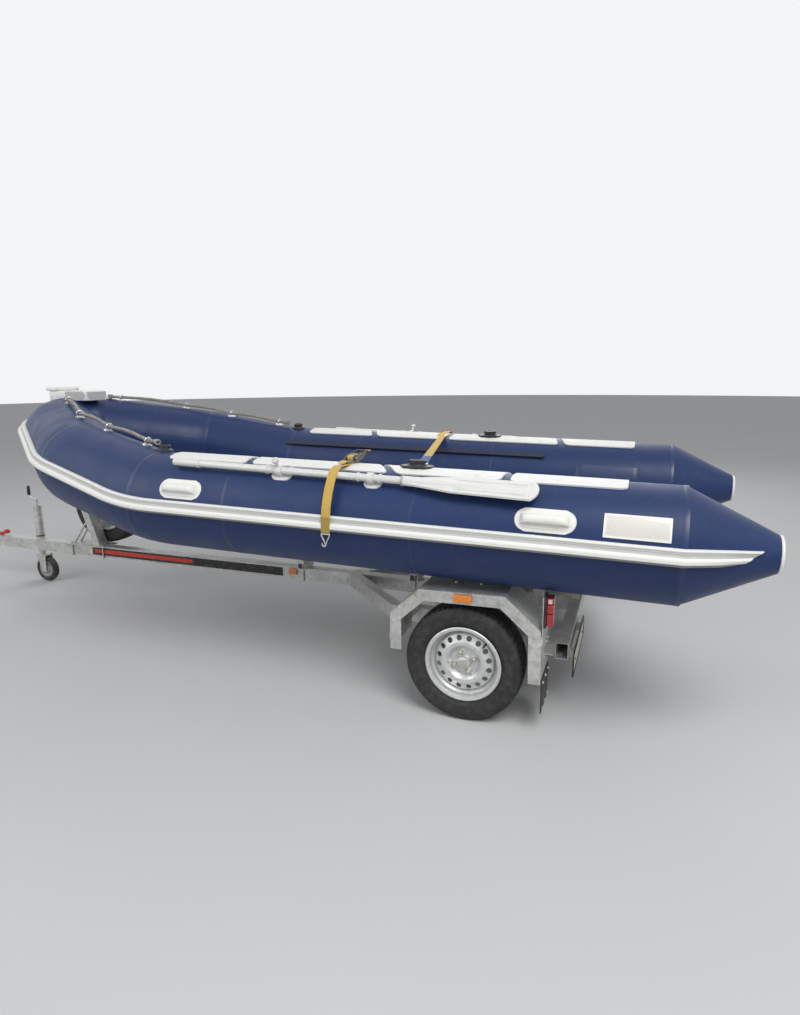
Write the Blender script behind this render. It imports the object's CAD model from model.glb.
"""Looks of the rigid inflatable boat on its road trailer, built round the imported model."""

import math

import bmesh
import bpy
from bmesh.types import BMFace, BMVert
from bpy.props import FloatProperty, FloatVectorProperty, IntProperty, PointerProperty
from mathutils import Matrix, Quaternion, Vector


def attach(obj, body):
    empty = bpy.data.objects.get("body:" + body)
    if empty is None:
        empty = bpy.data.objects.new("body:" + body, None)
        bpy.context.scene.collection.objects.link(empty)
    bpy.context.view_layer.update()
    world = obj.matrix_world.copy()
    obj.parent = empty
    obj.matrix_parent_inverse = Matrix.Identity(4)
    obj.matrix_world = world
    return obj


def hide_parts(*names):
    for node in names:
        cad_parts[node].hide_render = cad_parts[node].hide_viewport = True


bl_info = {
    "name": "Inflatable boat on a trailer",
    "version": (1, 0, 0),
    "blender": (4, 5, 0),
    "location": "View3D > Sidebar > Boat",
    "description": "Dresses the packed boat and trailer with finishes, ropes, straps, tyres and fittings",
    "category": "Object",
}

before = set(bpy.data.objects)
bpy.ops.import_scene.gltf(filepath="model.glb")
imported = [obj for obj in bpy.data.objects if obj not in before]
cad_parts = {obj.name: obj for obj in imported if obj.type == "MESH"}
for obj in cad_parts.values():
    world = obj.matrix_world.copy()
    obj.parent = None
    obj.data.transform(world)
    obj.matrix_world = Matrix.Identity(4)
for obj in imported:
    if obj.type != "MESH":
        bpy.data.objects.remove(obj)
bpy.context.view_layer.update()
BOAT = "boat_on_trailer"

# Places are told in millimetres from the trailer's wheel axis, as in the model's source.
MM = 0.001
WHEEL_X = 1.506322
TO_ROW = Matrix.Translation((WHEEL_X, 0, 0)) @ Matrix.Diagonal((MM, MM, MM, 1))
MIRROR = Matrix.Diagonal((1, -1, 1, 1))
ATHWART = Matrix.Rotation(math.pi / 2, 4, "Z")
ORIGIN = Vector((0, 0, 0))
X_WAY = Vector((1, 0, 0))
Y_WAY = Vector((0, 1, 0))
Z_WAY = Vector((0, 0, 1))

# Stage, in metres and degrees
FLOOR_R = 40.0
SKY_TINT = (0.93, 0.96, 1.0)
BACKDROP_TINT = (0.90, 0.91, 0.92)
LAMPS = [
    # name, setting of its power, size, place, target
    ("key_light", "key_power", 4.0, (4.5, -4.5, 6.5), (0.4, -0.3, 0.9)),
    ("fill_light", "fill_power", 5.0, (-4.5, -5.0, 4.0), (0, 0, 0.9)),
    ("rear_light", "fill_power", 5.0, (0.0, 6.0, 5.0), (0, 0, 0.9)),
]
CAMERA_PLACE = (0.7171 + WHEEL_X, -3.6133, 1.6178)
# yaw, pitch, roll
CAMERA_TURN_DEG = (20.54, 11.89, 0.6)
SENSOR_W = 36.0

# Tubes
TUBE_R = 250.0
TUBE_Y = 780.0
TUBE_Z = 916.0
SLOPE = math.tan(math.radians(1.08))
CONE_START_X = 894.0
CONE_END_X = 1247.0
CONE_END_R = 79.0
BOW_BEND_X = -1747.0
BOW_BEND_R = 1060.0
BOW_IN_DEG = 12.0
BOW_RISE_DEG = 10.6
BOW_RUN = 730.0
NOSE_BEND_R = 500.0
NOSE_IN_DEG = 35.3
NOSE_R = TUBE_R + 12.0
GLUE = 0.4
PAD_T = 7.0
PAD_TOP_R = TUBE_R + PAD_T + GLUE

# Seams and patches
SEAM_TABLE = [
    # x on the tube's axis, share of the tape's width
    (894.0, 0.8),
    (-210.0, 0.5),
    (-1177.0, 0.8),
]
# front and rear X, lowest and highest degrees
TRANSOM_PATCH = (334.0, 712.0, -80.0, -61.0)
TRANSOM_PATCH_T = 2.4

# Rub strake
STRAKE_STERN_X = 1180.0
STRAKE_STERN_SHARE = 0.82
STRAKE_END_SLANT = 1.35
STRAKE_SIDE_DEG = 3.5
STRAKE_BEND_DEG = 5.0
STRAKE_NOSE_DEG = 9.0
STRAKE_OUTLINE = [
    # off the tube, up, finish of the side that starts here: 0 band, 1 rib, 2 underside
    (-6.0, 34.0, 1), (8.0, 35.0, 1), (14.0, 34.2, 1), (18.4, 31.0, 1), (20.0, 27.0, 0),
    (20.0, 22.6, 0), (18.4, 21.9, 0), (18.4, 20.5, 0), (20.0, 19.8, 0),
    (20.0, 15.2, 0), (18.4, 14.5, 0), (18.4, 13.1, 0), (20.0, 12.4, 0),
    (20.0, 5.0, 0), (21.5, 1.8, 1), (30.5, -4.4, 1), (33.2, -6.4, 1), (34.0, -9.2, 1),
    (34.0, -14.0, 1), (33.0, -14.6, 1), (33.0, -15.6, 1), (34.0, -16.2, 1),
    (34.0, -20.8, 1), (32.6, -24.0, 2), (22.5, -33.6, 2), (19.0, -35.0, 2), (-6.0, -34.0, 2),
]

# Top pads
PAD_W = 205.0
PAD_CORNER = 24.0
PAD_GAP = 38.0
PAD_LEAN_DEG = 2.0
PAD_ENDS = (-1610.0, 673.0)
PAD_GAPS = {
    # X of each gap's middle at the pad's outboard and inboard edge
    "port": [(-1122.0, -1144.0), (-352.0, -502.0), (168.0, 186.0)],
    "starboard": [(-1180.0, -1078.0), (-500.0, -560.0), (160.0, 228.0)],
}

# Transom, its line from the middle outward
TRANSOM_X = (620.0, 665.0)
TRANSOM_LINE = [(230.0, 990.0), (300.0, 970.0), (640.0, 920.0), (640.0, 730.0)]
MOTOR_PAD_HALF = 150.0
MOTOR_PAD_Z = (862.0, 976.0)

# Ropes and straps
RING_TABLE = [
    # x of the axis point, degrees from the tube's top
    (-1930.0, -7.0),
    (-2290.0, -10.0),
    (-2610.0, -1.0),
    (-2985.0, -2.0),
]
RING_RISE = 23.9
STRAP_X = -600.0
STRAP_W = 44.0
STRAP_TABLE = [
    # degrees from the tube's top, distance off the tube
    (-16.0, 11.5), (-4.0, 11.5), (5.0, 11.7), (14.0, 14.5), (28.0, 50.0), (38.0, 56.0), (49.0, 46.0),
    (62.0, 40.0), (80.0, 38.0), (96.0, 37.0),
]
WEB_T = 2.4
WIRE_R = 3.2
STITCHED_DEG = (78.0, 96.0)
# x, degrees from the top, distance from the tube's axis
CROSS_NEAR = (-262.0, -14.0, PAD_TOP_R + 13.6)
CROSS_FAR = (-585.0, -16.5, TUBE_R + 11.1)
SLEEVE_END = 318.0
RATCHET_CHEEK = [
    (-62, 13), (46, 13), (56, 20), (58, 32), (34, 50), (14, 55), (-8, 50), (-30, 30), (-62, 24)]
RATCHET_ARM = [
    (-8, 26), (2, 18), (16, 20), (96, 48), (112, 58), (114, 66), (104, 71), (92, 68), (2, 46), (-8, 38)]
# share of a full turn, radius
RATCHET_TOOTH = [(0.0, 18.0), (0.06, 18.0), (0.07, 13.5), (0.08, 13.5)]
RATCHET_RUN_IN = [(-88, 15.4), (-60, 24.6), (-40, 24.4), (-10, 17.5)]
RATCHET_TAIL = [(-8, 18), (40, 16), (80, 30), (118, 58), (150, 64)]
HOOK_WIRE = [
    (-18, -42), (-18, -52), (-9, -58), (1, -54), (3, -40), (22, -4), (20, 1), (0, 1), (-20, 1), (-22, -4),
    (-3, -38), (-2, -48)]

# Handles, valves and oars
HANDLE_X = (-1437.0, 366.0)
HANDLE_DEG = 64.5
HANDLE_OVALS = [
    # length, width, height, share drawn in at the upper edge
    (250.0, 102.0, 3.5, 0.03),
    (226.0, 74.0, 7.0, 0.05),
]
GRIP_HALF = 100.0
VALVE_TABLE = [
    # x, degrees from the top, cap radius, whether it has a broad flange
    (-1735.0, -8.0, 31.0, False),
    (-265.0, -3.0, 40.0, True),
]
VALVE_RIM = [
    # height, radius beyond the cap's
    (-16, 18), (4, 18), (6.5, 15), (8, 8), (13, 4), (14, 0), (15.5, -2), (18, -2), (19, 0), (31, -1),
    (33.5, -4), (33.5, -9), (31.5, -11),
]
VALVE_STEM = [(31.5, 7), (33, 5), (33, 0)]
VALVE_FLANGE = [(-76, -30), (-50, -52), (52, -52), (78, -22), (78, 22), (52, 52), (-50, 52), (-76, 30)]
OAR_R = 283.0
OAR_FRONT = (-1560.0, 34.0)
OAR_REAR = (334.0, 40.5)
GRIP_FRONT_X = -1505.0
BLADE_FRONT_X = -260.0
BLADE_LEAN_DEG = 20.5
SHAFT_R = 17.0
OAR_COLLAR_X = (-958.0, -826.0, -480.0, -372.0)
GRIP_RIDGE = [(3, 19.6), (4.5, 20.4), (8.5, 20.4), (10, 19.6)]

# Bow locker
LOCKER_LOW = (-3262.0, -95.0, 1435.3)
LOCKER_HIGH = (-2920.0, 95.0, 1505.3)
WELL_X = (-3246.0, -3196.0)
WELL_Y = 89.0
WELL_DEPTH = 38.0
LID_LOW = (-3280.0, -103.0, 1505.6)
LID_HIGH = (-3180.0, 103.0, 1530.6)
LOCKER_SIDE_PANEL = [
    (-3110, 1500), (-2955, 1501), (-2932, 1482), (-2932, 1462), (-2958, 1446), (-3110, 1450)]
LOCKER_REAR_PANEL = [(-84, 1496), (84, 1496), (84, 1466), (66, 1446), (-66, 1446), (-84, 1466)]

# Trailer
JOCKEY = (-3684.0, 75.0, 100.0)
DRUM = (-3258.0, 0.0, 748.0)
BOW_EYE = (-3003.2, 0.0, 932.7)
BEAM_W = 70.0
BEAM_TOP_Z = 366.0
TYRE_R = 280.5
WHEEL_Y = 827.5
SPARE = (-3030.0, 132.0, 652.0)
BOLT_CIRCLE_R = 50.0
WHEEL_BOLT = [
    # inner and outer end, radius at each, sides, rounding
    (26, 31, 17, 14, 24, 0.8),
    (30, 47, 13.5, 13.5, 6, 1.6),
    (46, 49, 9.5, 7, 20, 0.0),
]
RIM_LIP = [(58.0, 166.0), (61.0, 167.4), (64.0, 170.6), (64.4, 172.8), (62.4, 173.6), (57.0, 171.0)]
TYRE_SIDE = [
    # across, radius: from the bead out to the shoulder
    (59.0, 166.6), (62.5, 184.6), (66.0, 189.0), (74.0, 203.0), (76.5, 206.5), (76.5, 209.0), (80.5, 226.0),
    (82.3, 238.0), (81.5, 250.0), (79.8, 252.5), (79.8, 256.0), (77.5, 263.0), (71.0, 272.0), (62.0, 277.2),
]
TYRE_TREAD = [
    # across, radius, grooves deep: from the shoulder to the middle rib
    (41.0, 279.4, 0), (40.0, 279.4, 1), (34.5, 280.0, 1), (33.5, 280.0, 0),
    (16.0, 280.4, 0), (15.0, 280.4, 1), (9.0, 280.4, 1), (8.0, 280.5, 0),
]
JOCKEY_TYRE = [(12, 58), (14, 66), (22, 70), (25, 78), (25, 88), (18, 97), (6, 100)]
JOCKEY_HUB = [
    (22, 6.2), (22, 27), (20, 30), (13, 33), (10, 36), (10, 52), (17, 56), (20, 60), (20, 66), (14, 68)]
LAMP_HOUSING = ((366.3, 861, 518), (378, 925, 666))
LAMP_SCREW_Z = (524.0, 660.0)
LAMP_FIELDS = ((528, 582), (584, 626), (628, 658))
LAMP_REFLECTOR = ((384, 920, 632), (401, 923.6, 652))
MARKER_TABLE = [
    # x, face that carries it, z, half of its length
    (9.0, 930.0, 617.0, 42.0),
    (-1376.0, 35.0, 338.0, 30.0),
]
BOARD_LOW = (479.0, -730.0, 216.0)
BOARD_HIGH = (487.0, -210.0, 331.0)
BOARD_EDGE = 9.0
BOARD_SCREW_Y = (-640.0, -300.0)
PLATE_BORDER = [
    # front and rear X, lowest and highest degrees
    (594, 845, 52.5, 54.6), (594, 845, 72.9, 75.0), (594, 603, 54.0, 73.5), (836, 845, 54.0, 73.5),
]
# share of a full turn, radius
WINCH_TOOTH = [(0.0, 46.0), (0.02, 46.0), (0.028, 41.0), (0.045, 41.0)]
WINCH_HOOK = [(-52, 18), (-52, 6), (-36, 0), (-14, 2), (4, 8), (8, -2), (-4, -8), (-20, -4)]
COUPLING_KNOB = [(-14, 0), (-14, 12), (-10, 21), (0, 25), (10, 22), (16, 13), (18, 0)]
BOLT_TABLE = [
    # every x, y and z, way that the heads look, radius; the fender's top rises 7 in 397
    ((-344.0,), (725.0, 780.0), (400.0, 470.0), -X_WAY, 7.0),
    ((361.5,), (725.0, 780.0), (320.0, 400.0), X_WAY, 7.0),
    ((-60.0,), (735.0, 790.0), (638 + (199 - 60) * 7 / 397,), Z_WAY, 7.0),
    ((60.0,), (735.0, 790.0), (638 + (199 + 60) * 7 / 397,), Z_WAY, 7.0),
    ((368.0,), (735.0, 815.0, 895.0), (128.0, 252.0), X_WAY, 6.0),
    ((-900.0, -560.0, 420.0), (35.0,), (300.0, 345.0), Y_WAY, 7.0),
]
BAND_TABLE = [
    # piece, finish, front and rear X, lowest and highest Z, depth in the beam, height off it
    ("beam_band", "band_black", (-3080.0, -1455.0), (BEAM_TOP_Z - 68, BEAM_TOP_Z - 10), 0.2, 0.6),
    ("beam_band_stripe", "band_red", (-3060.0, -2180.0), (BEAM_TOP_Z - 52, BEAM_TOP_Z - 24), 0.0, 0.9),
]


# Places on the starboard tube

def axis_point(x):
    return Vector((x, TUBE_Y, TUBE_Z - SLOPE * x))


def bow_way(in_deg):
    """Direction in the bow's rising plane that points forward and inward."""
    rise, inward = math.radians(BOW_RISE_DEG), math.radians(in_deg)
    ahead = math.cos(inward)
    return Vector((-ahead * math.cos(rise), -math.sin(inward), ahead * math.sin(rise)))


def upward(way):
    return way if way.z > 0 else -way


def corner_bend(way_in, corner, way_out, radius):
    """Arc that joins two runs: start, end, centre, rotation axis, angle."""
    turn = way_in.angle(way_out)
    reach = radius * math.tan(turn / 2)
    toward = (way_out - way_in).normalized()
    centre = corner + toward * (radius / math.cos(turn / 2))
    return corner - way_in * reach, corner + way_out * reach, centre, way_in.cross(way_out).normalized(), turn


side_way = (axis_point(-1000) - axis_point(0)).normalized()
cheek_way = bow_way(BOW_IN_DEG)
nose_way = bow_way(NOSE_IN_DEG)
bend_corner = axis_point(BOW_BEND_X)
nose_corner = bend_corner + cheek_way * BOW_RUN
tip_corner = nose_corner + nose_way * (nose_corner.y / math.sin(math.radians(NOSE_IN_DEG)))
side_up = upward(Vector((0, -1, 0)).cross(side_way).normalized())
bow_up = upward(cheek_way.cross(nose_way).normalized())
bow_bend = corner_bend(side_way, bend_corner, cheek_way, BOW_BEND_R)
nose_bend = corner_bend(cheek_way, nose_corner, nose_way, NOSE_BEND_R)
tip_bend = corner_bend(nose_way, tip_corner, (MIRROR @ nose_corner - tip_corner).normalized(), NOSE_R)


def tube_frame(x):
    """Axis point, forward way, outboard way and up way of the tube where its axis passes X."""
    if x > bend_corner.x:
        start, way, up = axis_point(CONE_START_X), side_way, side_up
    elif x > nose_corner.x:
        start, way, up = bend_corner, cheek_way, bow_up
    else:
        start, way, up = nose_corner, nose_way, bow_up
    out = way.cross(up).normalized()
    return start + way * ((x - start.x) / way.x), way, out if out.y > 0 else -out, up


def leaning(out, up, degrees):
    """Direction that leans outward from straight up."""
    angle = math.radians(degrees)
    return out * math.sin(angle) + up * math.cos(angle)


def axes_at(way, side, radial, spot):
    """Matrix from a fitting's own axes to its place."""
    return Matrix.Translation(spot) @ Matrix((way, side, radial)).transposed().to_4x4()


def on_tube(x, degrees, radius):
    centre, _, out, up = tube_frame(x)
    angle = math.radians(degrees)
    return centre + out * (radius * math.sin(angle)) + up * (radius * math.cos(angle))


def tube_place(x, degrees, radius):
    """Matrix from a fitting's own axes (X forward along the tube, Z outward) to its place on the tube."""
    centre, way, out, up = tube_frame(x)
    radial = leaning(out, up, degrees)
    return axes_at(way, radial.cross(way), radial, centre + radial * radius)


def oar_place(x, degrees):
    """Matrix from the oar's own axes (X forward along it, Z off the tube) to its place."""
    front, rear = on_tube(*OAR_FRONT, OAR_R), on_tube(*OAR_REAR, OAR_R)
    way = (front - rear).normalized()
    side = leaning(*tube_frame(x)[2:], degrees).cross(way).normalized()
    return axes_at(way, side, way.cross(side), front + way * ((x - front.x) / way.x))


def strap_spot(degrees, off):
    """Spot of the tie-down strap, which runs round the tube upright, not square to the tube's axis."""
    tube = tube_frame(STRAP_X)[0]
    angle, reach = math.radians(degrees), TUBE_R + off
    return Vector((STRAP_X, tube.y + reach * math.sin(angle), tube.z + reach * math.cos(angle)))


# Making pieces

def piece(name, bm, looks, body=BOAT, replaces=(), sharp=35.0, moved=Matrix(), both=False):
    """Turn a bmesh drawn in millimetres from the wheel axis into a piece that rides on its body.

    looks names its finishes; with both, its mirror image is drawn too.
    """
    if both:
        mirror_too(bm)
    put(bm, bm.verts[:], TO_ROW @ moved)
    bmesh.ops.recalc_face_normals(bm, faces=bm.faces[:])
    mesh = bpy.data.meshes.new(name)
    bm.to_mesh(mesh)
    bm.free()
    for look in looks.split():
        mesh.materials.append(finishes[look])
    mesh.shade_smooth()
    mesh.set_sharp_from_angle(angle=math.radians(sharp))
    obj = bpy.data.objects.new(name, mesh)
    bpy.context.scene.collection.objects.link(obj)
    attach(obj, body)
    if replaces:
        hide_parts(*replaces)


def put(bm, verts, matrix):
    bmesh.ops.transform(bm, matrix=matrix, verts=verts)


def picked(geom, kind):
    return [g for g in geom if isinstance(g, kind)]


def mirror_too(bm):
    """Add the mirror image across the boat's centreline."""
    copy = bmesh.ops.duplicate(bm, geom=bm.verts[:] + bm.edges[:] + bm.faces[:])["geom"]
    put(bm, picked(copy, BMVert), MIRROR)
    bmesh.ops.reverse_faces(bm, faces=picked(copy, BMFace))


def rounded(bm, made, edges, offset, segments):
    """Bevel some edges of what was just made, and tell all its vertices."""
    faces = bmesh.ops.bevel(
        bm, geom=edges, offset=offset, segments=segments, affect="EDGES", profile=0.5, material=-1)["faces"]
    return list({v for f in faces for v in f.verts} | {v for v in made if v.is_valid})


def block(bm, low, high, bevel=0.0, segments=2, matrix=Matrix()):
    """Box between two corners, its edges rounded."""
    low, high = Vector(low), Vector(high)
    made = bmesh.ops.create_cube(bm, size=1.0)["verts"]
    bmesh.ops.scale(bm, verts=made, vec=high - low)
    bmesh.ops.translate(bm, verts=made, vec=(low + high) / 2)
    if bevel:
        made = rounded(bm, made, list({e for v in made for e in v.link_edges}), bevel, segments)
    put(bm, made, matrix)
    return made


def bar(bm, start, end, radius, end_radius=None, sides=20, bevel=0.0):
    """Round bar or cone between two points, its end edges rounded."""
    start, way = Vector(start), Vector(end) - Vector(start)
    made = bmesh.ops.create_cone(
        bm, cap_ends=True, segments=sides, radius1=radius,
        radius2=radius if end_radius is None else end_radius, depth=way.length)["verts"]
    bmesh.ops.translate(bm, verts=made, vec=(0, 0, way.length / 2))
    if bevel:
        rims = [e for e in {e for v in made for e in v.link_edges}
                if abs(e.verts[0].co.z - e.verts[1].co.z) < 1e-6]
        made = rounded(bm, made, rims, bevel, 2)
    turn = Z_WAY.rotation_difference(way.normalized())
    put(bm, made, Matrix.Translation(start) @ turn.to_matrix().to_4x4())
    return made


def spun(bm, profile, centre, axis, sides=96, closed=True):
    """Spin an outline of (distance along the axis, radius) points about the axis."""
    centre, axis = Vector(centre), Vector(axis).normalized()
    side = axis.orthogonal().normalized()
    before = set(bm.verts)
    verts = [bm.verts.new(centre + axis * a + side * r) for a, r in profile]
    ends = verts[1:] + verts[:1] if closed else verts[1:]
    edges = [bm.edges.new(pair) for pair in zip(verts, ends)]
    bmesh.ops.spin(
        bm, geom=verts + edges, cent=centre, axis=axis, angle=math.tau, steps=sides, use_merge=True)
    if not closed:
        bmesh.ops.remove_doubles(bm, verts=[v for v in bm.verts if v not in before], dist=0.005)
    return [v for v in bm.verts if v not in before]


def carried(bm, rings, kinds=()):
    """Carry a closed outline from ring to ring, and tell its first and last vertices."""
    first = verts = [bm.verts.new(spot) for spot in rings[0]]
    edges = [bm.edges.new(pair) for pair in zip(verts, verts[1:] + verts[:1])]
    for ring in rings[1:]:
        grown = set(picked(bmesh.ops.extrude_edge_only(bm, edges=edges)["geom"], BMVert))
        verts = [next(e.other_vert(v) for e in v.link_edges if e.other_vert(v) in grown) for v in verts]
        for vert, spot in zip(verts, ring):
            vert.co = spot
        edges = [bm.edges.get(pair) for pair in zip(verts, verts[1:] + verts[:1])]
        for edge, kind in zip(edges, kinds):
            edge.link_faces[0].material_index = kind
    return first, verts


def plate(bm, outline, thickness, bevel=0.0, matrix=Matrix()):
    """Flat plate from an outline in X and Z, its middle at Y = 0."""
    verts = [bm.verts.new((x, -thickness / 2, z)) for x, z in outline]
    grown = picked(bmesh.ops.extrude_face_region(bm, geom=[bm.faces.new(verts)])["geom"], BMVert)
    bmesh.ops.translate(bm, verts=grown, vec=(0, thickness, 0))
    made = verts + grown
    if bevel:
        made = rounded(bm, made, list({e for v in made for e in v.link_edges}), bevel, 1)
    put(bm, made, matrix)
    return made


def mirrored(half):
    """Closed outline from its half and that half's mirror image."""
    return half + [(-a, b) for a, b in reversed(half)]


def toothed(bm, centre, teeth, steps, thickness):
    """Toothed disc about Y; steps are (share of a full turn, radius) from one tooth to the next."""
    outline = []
    for i in range(teeth):
        for turn, radius in steps:
            angle = math.tau * (i / teeth + turn)
            outline.append((centre[0] + radius * math.cos(angle), centre[2] + radius * math.sin(angle)))
    plate(bm, outline, thickness, 0.0, Matrix.Translation((0, centre[1], 0)))


def bent_sheet(bm, place, low_r, high_r, columns=10, rows=12, edge=0.02):
    """Sheet that follows the tube. place turns (u, v) between -1 and 1 into an X and an angle."""
    grid = bmesh.ops.create_grid(bm, x_segments=columns, y_segments=rows, size=1.0)["verts"]
    most = max(abs(v.co.x) for v in grid)
    bmesh.ops.scale(bm, verts=grid, vec=(1 / most, 1 / most, 1))
    faces = list({f for v in grid for f in v.link_faces})
    lifted = bmesh.ops.extrude_face_region(bm, geom=faces)["geom"]
    for vert in picked(lifted, BMVert):
        vert.co.x *= 1 - edge
        vert.co.y *= 1 - edge
        vert.co = on_tube(*place(vert.co.x, vert.co.y), high_r)
    for vert in [v for v in bm.verts if v.co.z == 0.0 and abs(v.co.x) <= 1.0001]:
        vert.co = on_tube(*place(vert.co.x, vert.co.y), low_r)


def between(low, high, share):
    """Value between two ends, for a share between -1 and 1."""
    return (low + high) / 2 + share * (high - low) / 2


def span(x_low, x_high, deg_low, deg_high):
    """Place of a sheet between two X and two angles."""
    return lambda u, v: (between(x_low, x_high, u), between(deg_low, deg_high, v))


def oval(x, degrees, length, width):
    """Place of a sheet with half-round ends."""
    half = width / 2

    def place(u, v):
        across = v * half
        reach = length / 2 - half + math.sqrt(max(half * half - across * across, 0.0))
        return x + u * reach, degrees + math.degrees(across / TUBE_R)
    return place


def curve_mesh(lines, kind, **settings):
    """Mesh of the curve that lines of points steer."""
    curve = bpy.data.curves.new("route", "CURVE")
    curve.dimensions = "3D"
    for key, value in settings.items():
        setattr(curve, key, value)
    for line in lines:
        spline = curve.splines.new(kind)
        spline.points.add(len(line) - 1)
        for knot, point in zip(spline.points, line):
            knot.co = (*point, 1.0)
        if kind == "NURBS":
            spline.use_endpoint_u = True
            spline.order_u = 3
    holder = bpy.data.objects.new("route", curve)
    mesh = bpy.data.meshes.new_from_object(holder)
    bpy.data.objects.remove(holder)
    bpy.data.curves.remove(curve)
    return mesh


def smooth_route(points, resolution=10):
    """Points along the NURBS line that a route's points steer."""
    mesh = curve_mesh([points], "NURBS", resolution_u=resolution)
    line = [v.co.copy() for v in mesh.vertices]
    bpy.data.meshes.remove(mesh)
    return line


def pipes(bm, lines, radius, sides=3):
    """Add round pipes that follow lines of points."""
    mesh = curve_mesh(lines, "POLY", bevel_depth=radius, bevel_resolution=sides, use_fill_caps=True)
    bm.from_mesh(mesh)
    bpy.data.meshes.remove(mesh)


def even_steps(line, step):
    """The same line with its points a fixed step apart."""
    out = [line[0]]
    left = 0.0
    for a, b in zip(line, line[1:]):
        length = (b - a).length
        spot = step - left
        while spot <= length:
            out.append(a.lerp(b, spot / length))
            spot += step
        left = length - (spot - step)
    return out


def ribbon(bm, line, side, width, thickness):
    """Flat band along a line, with UVs in millimetres: across, along."""
    uv = bm.loops.layers.uv.verify()
    half = Vector(side).normalized() * (width / 2)
    first = [bm.verts.new(p - half) for p in line]
    edges = [bm.edges.new(pair) for pair in zip(first, first[1:])]
    grown = bmesh.ops.extrude_edge_only(bm, edges=edges)["geom"]
    second, faces = picked(grown, BMVert), picked(grown, BMFace)
    bmesh.ops.translate(bm, verts=second, vec=half * 2)
    reach = [0.0]
    for a, b in zip(line, line[1:]):
        reach.append(reach[-1] + (b - a).length)
    starts = [v.co.copy() for v in first]
    far = set(second)
    for face in faces:
        for loop in face.loops:
            spot = loop.vert.co - (half * 2 if loop.vert in far else Vector())
            nearest = min(range(len(starts)), key=lambda i: (starts[i] - spot).length_squared)
            loop[uv].uv = (width if loop.vert in far else 0.0, reach[nearest])
    bmesh.ops.recalc_face_normals(bm, faces=faces)
    bmesh.ops.solidify(bm, geom=faces, thickness=thickness)


# Finishes

def feed(tree, socket, value):
    """Give a socket its value, or the socket that it follows."""
    if isinstance(value, bpy.types.NodeSocket):
        tree.links.new(value, socket)
    else:
        socket.default_value = (*value[:3], 1.0) if socket.type == "RGBA" else value


def add_node(tree, kind, outlet, inlets, **settings):
    """Add a shader node, and tell one of its outlets."""
    node = tree.nodes.new("ShaderNode" + kind)
    for key, value in settings.items():
        setattr(node, key, value)
    for key, value in inlets.items():
        feed(tree, node.inputs[key], value)
    return node.outputs[outlet]


def shade(colour, share):
    return tuple(c * share for c in colour[:3])


class Finish:
    """A material while it is put together; its patterns follow the object's own coordinates."""

    def __init__(self, name, rough=0.5, metallic=0.0):
        self.material = bpy.data.materials.new(name)
        self.material.use_nodes = True
        self.tree = self.material.node_tree
        self.inlets = self.tree.nodes["Principled BSDF"].inputs
        self.coords = self.tree.nodes.new("ShaderNodeTexCoord").outputs
        self.show("Roughness", rough)
        self.show("Metallic", metallic)

    def show(self, inlet, value):
        feed(self.tree, self.inlets[inlet], value)

    def noise(self, scale, detail=3.0, stretch=None):
        vector = self.coords["Object"]
        if stretch:
            vector = add_node(self.tree, "Mapping", "Vector", {"Vector": vector, "Scale": stretch})
        return add_node(self.tree, "TexNoise", "Fac", {"Vector": vector, "Scale": scale, "Detail": detail})

    def cells(self, scale, outlet="Distance"):
        return add_node(self.tree, "TexVoronoi", outlet, {"Vector": self.coords["Object"], "Scale": scale})

    def bands(self, coords, direction, scale, distortion=0.0):
        inlets = {"Vector": self.coords[coords], "Scale": scale, "Distortion": distortion}
        return add_node(self.tree, "TexWave", "Fac", inlets, bands_direction=direction)

    def part(self, vector, axis):
        return add_node(self.tree, "SeparateXYZ", axis, {"Vector": vector})

    def ranged(self, value, low, high, to_low, to_high):
        return add_node(self.tree, "MapRange", "Result", {
            "Value": value, "From Min": low, "From Max": high, "To Min": to_low, "To Max": to_high})

    def blended(self, factor, colour_a, colour_b):
        return add_node(self.tree, "Mix", 2, {"Factor": factor, 6: colour_a, 7: colour_b}, data_type="RGBA")

    def raised(self, height, distance, strength=1.0):
        """Add a bump to the shader, over any bump that it already has."""
        inlets = {"Strength": strength, "Distance": distance, "Height": height}
        below = self.inlets["Normal"].links
        if below:
            inlets["Normal"] = below[0].from_socket
        self.show("Normal", add_node(self.tree, "Bump", "Normal", inlets))


def mottled(name, colour, rough, spread=0.12, blotch=9.0, grain=600.0, grain_depth=0.0001, metallic=0.0,
            coat=0.0, grime=0.0):
    """Even finish with soft blotches, a fine grain and dust gathered in its hollows."""
    look = Finish(name, rough, metallic)
    blotches = look.noise(blotch)
    tint = look.blended(blotches, shade(colour, 1 - spread), shade(colour, 1 + spread))
    if grime:
        dirt = look.ranged(look.noise(blotch * 3.1, 8.0), 0.52, 0.75, 0.0, grime)
        tint = look.blended(dirt, tint, (0.23, 0.20, 0.16))
    look.show("Base Color", tint)
    look.show("Roughness", look.ranged(blotches, 0.3, 0.7, rough - 0.1, rough + 0.1))
    look.raised(look.noise(grain, 2.0), grain_depth)
    look.show("Coat Weight", coat)
    return look.material


def coated_fabric(colour):
    """Navy coated fabric of the air tubes: soft sheen, fine weave, faint slow ripples."""
    look = Finish("navy_coated_fabric", 0.42)
    tint = look.blended(look.noise(2.3, 2.0), shade(colour, 0.88), shade(colour, 1.14))
    dust = look.ranged(look.noise(26.0, 9.0), 0.56, 0.8, 0.0, 0.06)
    look.show("Base Color", look.blended(dust, tint, (0.20, 0.21, 0.24)))
    look.show("Roughness", look.ranged(look.noise(7.0, 5.0), 0.3, 0.7, 0.36, 0.5))
    look.raised(look.cells(700.0), 0.00012, 0.5)
    look.raised(look.noise(5.0, 1.0), 0.004, 0.35)
    look.show("Specular IOR Level", 0.36)
    return look.material


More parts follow.
